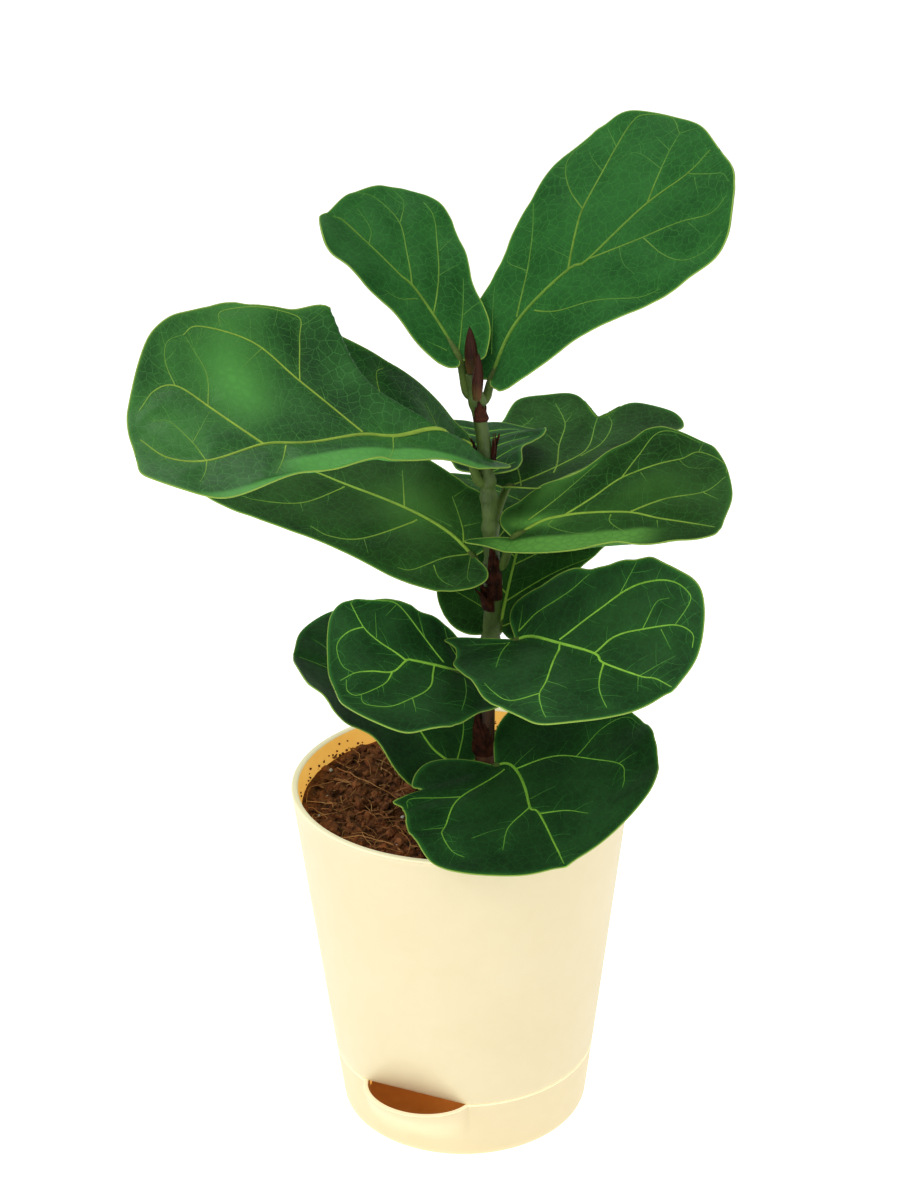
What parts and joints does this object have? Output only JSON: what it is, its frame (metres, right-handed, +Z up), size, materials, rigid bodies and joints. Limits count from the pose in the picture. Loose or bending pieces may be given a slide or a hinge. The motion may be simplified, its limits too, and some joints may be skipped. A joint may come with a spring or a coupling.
{
  "type": "potted fiddle leaf fig",
  "caption": "Young fiddle leaf fig with broad veined leaves on one upright stem, in a tapered self-watering plastic pot with a bottom water tray and a side filling mouth.",
  "frame": {"origin": "centre of the tray's flat underside, on the pot's axis, where the object rests", "axes": "+Z up along the pot's axis, -Y towards the watering mouth at the front, +X to the right seen from the front"},
  "size_m": [0.2591, 0.274, 0.4389],
  "materials": {
    "pot": "satin cream plastic, lightly mottled",
    "tray": "satin cream plastic",
    "soil": "damp dark potting mix with coir fibre",
    "stem": "green young stem, brown and corky at its foot",
    "young_leaf": "satin mid-green leaf with pale veins",
    "leaf": "glossy dark green leathery leaf with pale yellow-green veins and margin",
    "sheath": "dry papery red-brown scale",
    "bud": "closed red-brown bud scale"
  },
  "bodies": {
    "root": {"pot_body": "pot", "water_tray": "tray", "soil": "soil", "stem": "stem", "leaf_top_right": "young_leaf", "leaf_top_left": "young_leaf", "leaf_glossy_left": "leaf", "leaf_shaded_left": "leaf", "leaf_back_right": "leaf", "leaf_middle_right": "leaf", "leaf_behind_stem": "leaf", "leaf_lower_right": "leaf", "leaf_round_left": "leaf", "leaf_lowest_left": "leaf", "leaf_over_rim": "leaf", "leaf_small_back": "leaf", "leaf_sheath_1": "sheath", "leaf_sheath_2": "sheath", "leaf_sheath_3": "sheath", "leaf_sheath_4": "sheath", "leaf_sheath_5": "sheath", "leaf_sheath_6": "sheath", "terminal_bud": "bud", "bud_sheath": "bud"}
  },
  "joints": []
}
